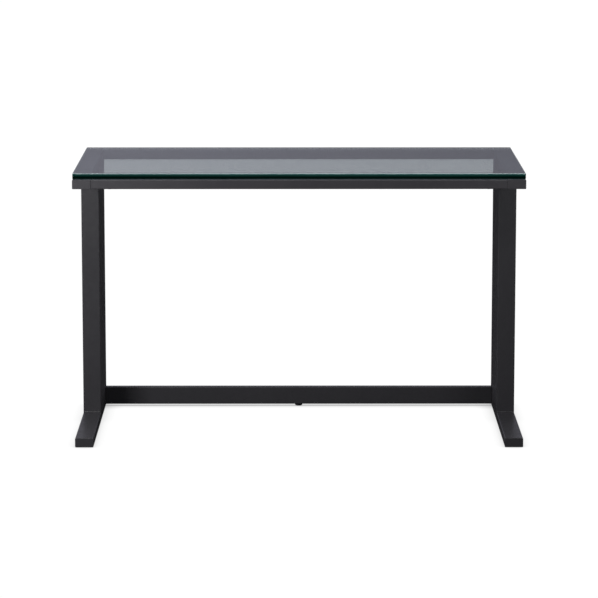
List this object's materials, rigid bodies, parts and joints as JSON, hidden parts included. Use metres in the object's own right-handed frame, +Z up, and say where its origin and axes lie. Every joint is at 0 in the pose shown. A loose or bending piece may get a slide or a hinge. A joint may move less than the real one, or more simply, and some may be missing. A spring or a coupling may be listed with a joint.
{
  "type": "glass-topped desk",
  "caption": "Rectangular desk with a clear glass top on a dark metal frame: C-shaped side frames with deep flat posts and long feet, joined by rails and a low back stretcher.",
  "frame": {"origin": "on the floor, under the middle of the desk", "axes": "+X along the width, to the right of someone facing the front; +Y from the front to the back, where the posts and the stretcher are; +Z up"},
  "size_m": [1.2192, 0.6096, 0.75],
  "materials": {
    "powder_coat": "satin",
    "glass": "gloss",
    "clear_rubber": "satin",
    "black_plastic": "matte",
    "black_steel": "satin",
    "zinc_steel": "satin"
  },
  "bodies": {
    "base": {"corner_bumper_front_left": "clear_rubber", "corner_bumper_front_right": "clear_rubber", "corner_bumper_back_left": "clear_rubber", "corner_bumper_back_right": "clear_rubber", "rail_bumper_front_left": "clear_rubber", "rail_bumper_front_right": "clear_rubber", "rail_bumper_back_left": "clear_rubber", "rail_bumper_back_right": "clear_rubber", "side_rail_left": "powder_coat", "post_left": "powder_coat", "foot_left": "powder_coat", "side_rail_right": "powder_coat", "post_right": "powder_coat", "foot_right": "powder_coat", "rail_cap_front_left": "powder_coat", "foot_cap_front_left": "powder_coat", "rail_cap_front_right": "powder_coat", "foot_cap_front_right": "powder_coat", "rail_cap_back_left": "powder_coat", "foot_cap_back_left": "powder_coat", "rail_cap_back_right": "powder_coat", "foot_cap_back_right": "powder_coat", "front_rail": "powder_coat", "back_rail": "powder_coat", "stretcher": "powder_coat", "joining_bar_front_left": "zinc_steel", "joining_bar_front_right": "zinc_steel", "joining_bar_back_left": "zinc_steel", "joining_bar_back_right": "zinc_steel", "joining_bar_stretcher_left": "zinc_steel", "joining_bar_stretcher_right": "zinc_steel", "rail_screw_front_left_1": "black_steel", "rail_screw_front_left_2": "black_steel", "rail_screw_front_right_1": "black_steel", "rail_screw_front_right_2": "black_steel", "rail_screw_back_left_1": "black_steel", "rail_screw_back_left_2": "black_steel", "rail_screw_back_right_1": "black_steel", "rail_screw_back_right_2": "black_steel", "stretcher_screw_left_1": "black_steel", "stretcher_screw_left_2": "black_steel", "stretcher_screw_right_1": "black_steel", "stretcher_screw_right_2": "black_steel", "glide_boss_front_left": "zinc_steel", "glide_boss_front_right": "zinc_steel", "glide_boss_back_left": "zinc_steel", "glide_boss_back_right": "zinc_steel", "glide_boss_middle": "zinc_steel"},
    "glide_front_left": {"glide_pad_front_left": "black_plastic", "glide_stem_front_left": "zinc_steel"},
    "glide_front_right": {"glide_pad_front_right": "black_plastic", "glide_stem_front_right": "zinc_steel"},
    "glide_back_left": {"glide_pad_back_left": "black_plastic", "glide_stem_back_left": "zinc_steel"},
    "glide_back_right": {"glide_pad_back_right": "black_plastic", "glide_stem_back_right": "zinc_steel"},
    "glide_middle": {"glide_pad_middle": "black_plastic", "glide_stem_middle": "zinc_steel"},
    "glass": {"glass_top": "glass"}
  },
  "joints": [
    {"name": "glass_lift", "type": "slide", "parent": "base", "child": "glass", "axis": [0, 0, 1], "range_m": [0, 0.06]},
    {"name": "glide_front_left_screw", "type": "slide", "parent": "base", "child": "glide_front_left", "axis": [0, 0, -1], "range_m": [0, 0.006]},
    {"name": "glide_front_right_screw", "type": "slide", "parent": "base", "child": "glide_front_right", "axis": [0, 0, -1], "range_m": [0, 0.006]},
    {"name": "glide_back_left_screw", "type": "slide", "parent": "base", "child": "glide_back_left", "axis": [0, 0, -1], "range_m": [0, 0.006]},
    {"name": "glide_back_right_screw", "type": "slide", "parent": "base", "child": "glide_back_right", "axis": [0, 0, -1], "range_m": [0, 0.006]},
    {"name": "glide_middle_screw", "type": "slide", "parent": "base", "child": "glide_middle", "axis": [0, 0, -1], "range_m": [0, 0.006]}
  ]
}
